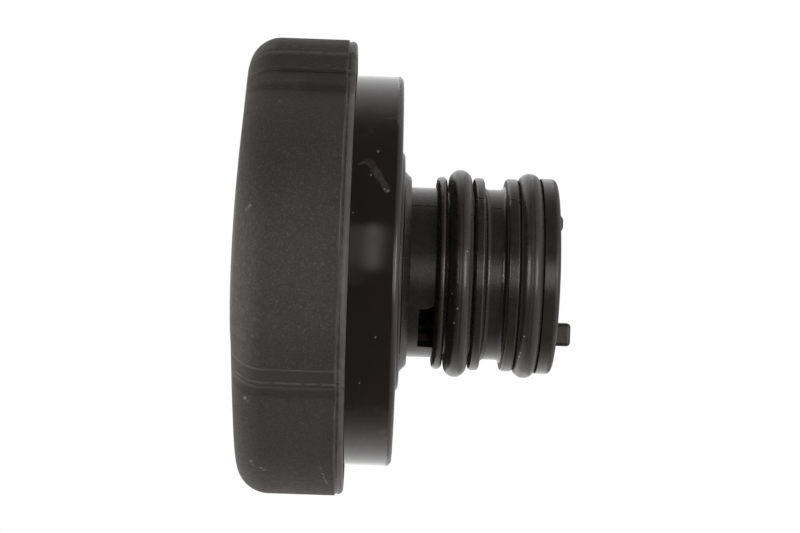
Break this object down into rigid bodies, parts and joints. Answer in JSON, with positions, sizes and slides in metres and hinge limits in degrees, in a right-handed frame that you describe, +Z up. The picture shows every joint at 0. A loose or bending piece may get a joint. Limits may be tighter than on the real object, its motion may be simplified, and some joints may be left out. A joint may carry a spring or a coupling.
{
  "type": "coolant expansion tank cap",
  "caption": "Screw cap for a coolant expansion tank: swirl grip cover, threaded cup, swivelling plug sealed by O-rings, and sprung pressure and vacuum valves inside.",
  "frame": {"origin": "on the cap's axis at the mouth of the threaded skirt, where the cap goes onto the filler neck", "axes": "+Z up through the crown of the grip cover as the cap sits on the tank, -Z along the plug into the neck, +X through the nub on the plug's end face"},
  "size_m": [0.071, 0.071, 0.0527],
  "materials": {
    "cover_plastic": "fine spark-eroded texture, dark warm grey",
    "cup_plastic": "polished black moulding",
    "plug_plastic": "satin black moulding",
    "seal_rubber": "smooth black rubber with a light oily sheen",
    "washer_plastic": "natural low-friction plastic",
    "valve_plastic": "natural glass-filled plastic",
    "spring_steel": "drawn stainless steel",
    "poppet_brass": "turned brass"
  },
  "bodies": {
    "cap": {"grip_cover": "cover_plastic", "threaded_cup": "cup_plastic"},
    "plug": {"valve_housing": "plug_plastic", "upper_o_ring": "seal_rubber", "lower_o_ring": "seal_rubber", "end_plate": "plug_plastic", "thrust_washer": "washer_plastic", "slip_washer": "washer_plastic", "circlip": "spring_steel", "spring_seat": "spring_steel", "pressure_spring": "spring_steel"},
    "pressure_valve": {"pressure_valve_plate": "valve_plastic", "pressure_valve_seal": "seal_rubber", "vacuum_spring": "spring_steel"},
    "vacuum_valve": {"vacuum_poppet": "poppet_brass", "vacuum_seal": "seal_rubber", "vacuum_clip": "spring_steel"}
  },
  "joints": [
    {"name": "plug_swivel", "type": "hinge", "parent": "cap", "child": "plug", "pos_m": [0, 0, 0], "axis": [0, 0, 1], "continuous": true},
    {"name": "pressure_slide", "type": "slide", "parent": "plug", "child": "pressure_valve", "axis": [0, 0, 1], "range_m": [0, 0.0025], "stiffness_N_per_m": 2700, "springref_m": -0.0085, "deforming": ["pressure_spring"]},
    {"name": "vacuum_slide", "type": "slide", "parent": "pressure_valve", "child": "vacuum_valve", "axis": [0, 0, -1], "range_m": [0, 0.0012], "stiffness_N_per_m": 750, "springref_m": -0.0009, "deforming": ["vacuum_spring"]}
  ]
}
